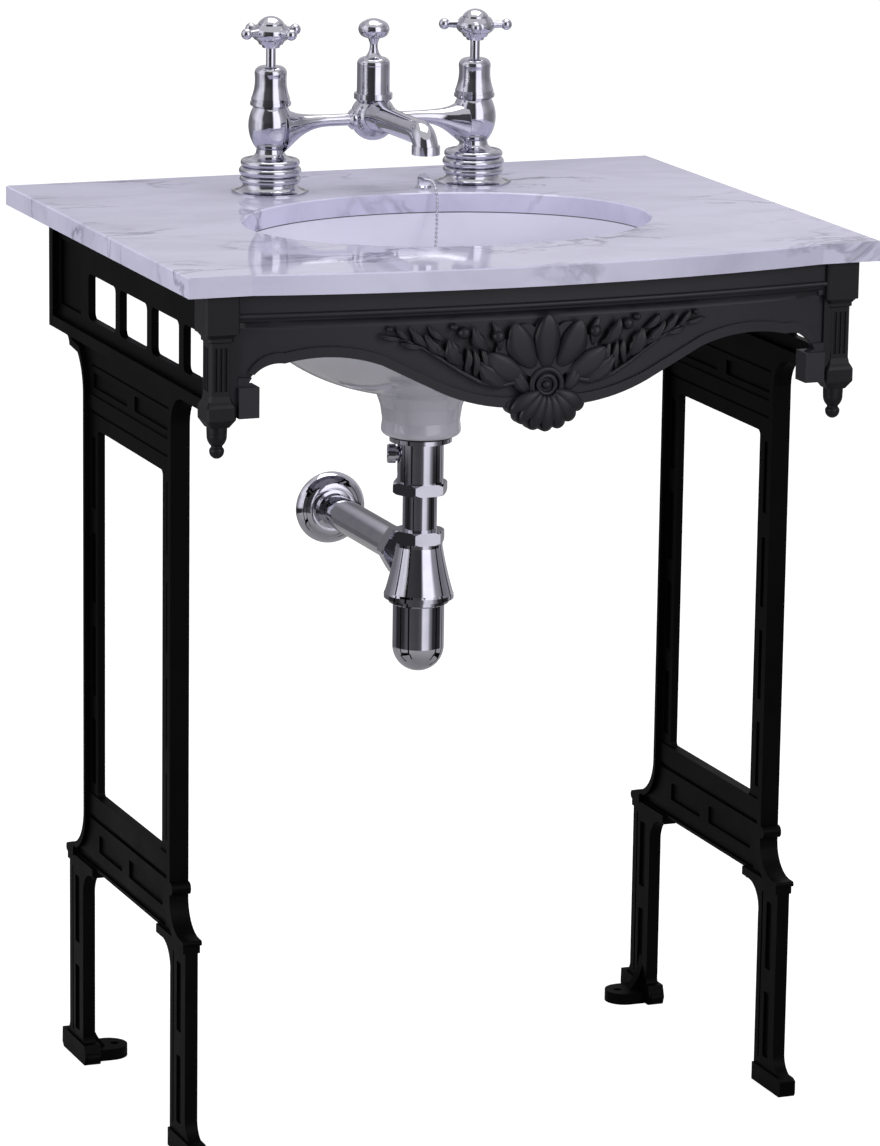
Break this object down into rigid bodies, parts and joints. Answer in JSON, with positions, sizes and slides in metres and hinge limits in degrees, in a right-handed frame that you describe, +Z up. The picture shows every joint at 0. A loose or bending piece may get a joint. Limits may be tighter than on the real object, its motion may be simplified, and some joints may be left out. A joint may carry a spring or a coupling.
{
  "type": "console washstand",
  "caption": "Console washstand: bow-fronted marble slab with undermounted oval basin and bridge mixer tap on cast side frames with a scrolled apron.",
  "frame": {"origin": "on the floor under the middle of the whole object, bounding box bottom centre", "axes": "+Z up, +X to the right as seen from the front, +Y back to the wall, so the bowed front and the user are at -Y"},
  "size_m": [0.65, 0.5499, 0.979],
  "materials": {
    "white_marble": "polished white marble with grey veins",
    "white_china": "glazed white",
    "sealant": "matt silicone",
    "zinc_steel": "zinc plated",
    "satin_black_iron": "satin black paint on a casting",
    "chrome_plate": "bright chrome plate",
    "black_rubber": "matt",
    "brass_nut": "turned brass"
  },
  "bodies": {
    "washstand": {"marble_top": "white_marble", "basin_bowl": "white_china", "basin_sealant": "sealant", "basin_clips": "zinc_steel", "clip_screws": "zinc_steel", "left_side_frame": "satin_black_iron", "right_side_frame": "satin_black_iron", "front_apron": "satin_black_iron", "left_corner_post": "satin_black_iron", "right_corner_post": "satin_black_iron", "left_drop_finial": "satin_black_iron", "right_drop_finial": "satin_black_iron", "left_apron_bolt": "zinc_steel", "right_apron_bolt": "zinc_steel", "waste_body": "chrome_plate", "waste_washer": "black_rubber", "waste_backnut": "chrome_plate", "waste_side_cap": "chrome_plate", "trap_inlet_nut": "chrome_plate", "trap_inlet_tube": "chrome_plate", "trap_top_nut": "chrome_plate", "trap_body": "chrome_plate", "trap_cup": "chrome_plate", "outlet_nut": "chrome_plate", "outlet_pipe": "chrome_plate", "wall_flange": "chrome_plate", "bridge_spout": "chrome_plate", "spout_aerator": "chrome_plate", "hub_bonnet": "chrome_plate", "hub_finial": "chrome_plate", "chain_stay": "chrome_plate", "stay_nut": "brass_nut", "hot_pillar": "chrome_plate", "hot_valve": "brass_nut", "hot_bonnet": "chrome_plate", "hot_deck_gasket": "black_rubber", "hot_backnut": "brass_nut", "cold_pillar": "chrome_plate", "cold_valve": "brass_nut", "cold_bonnet": "chrome_plate", "cold_deck_gasket": "black_rubber", "cold_backnut": "brass_nut"},
    "hot_tap_handle": {"hot_spindle": "chrome_plate", "hot_handle": "chrome_plate", "hot_index_cap": "chrome_plate"},
    "cold_tap_handle": {"cold_spindle": "chrome_plate", "cold_handle": "chrome_plate", "cold_index_cap": "chrome_plate"},
    "waste_plug": {"plug": "chrome_plate", "plug_ring": "chrome_plate", "plug_chain": "chrome_plate"}
  },
  "joints": [
    {"name": "hot_handle_turn", "type": "hinge", "parent": "washstand", "child": "hot_tap_handle", "pos_m": [-0.1015, 0.171, 0.94], "axis": [0, 0, 1], "range_deg": [0, 90]},
    {"name": "cold_handle_turn", "type": "hinge", "parent": "washstand", "child": "cold_tap_handle", "pos_m": [0.1015, 0.171, 0.94], "axis": [0, 0, 1], "range_deg": [-90, 0]},
    {"name": "plug_lift", "type": "slide", "parent": "washstand", "child": "waste_plug", "axis": [0, 0, 1], "range_m": [0, 0.04]}
  ]
}
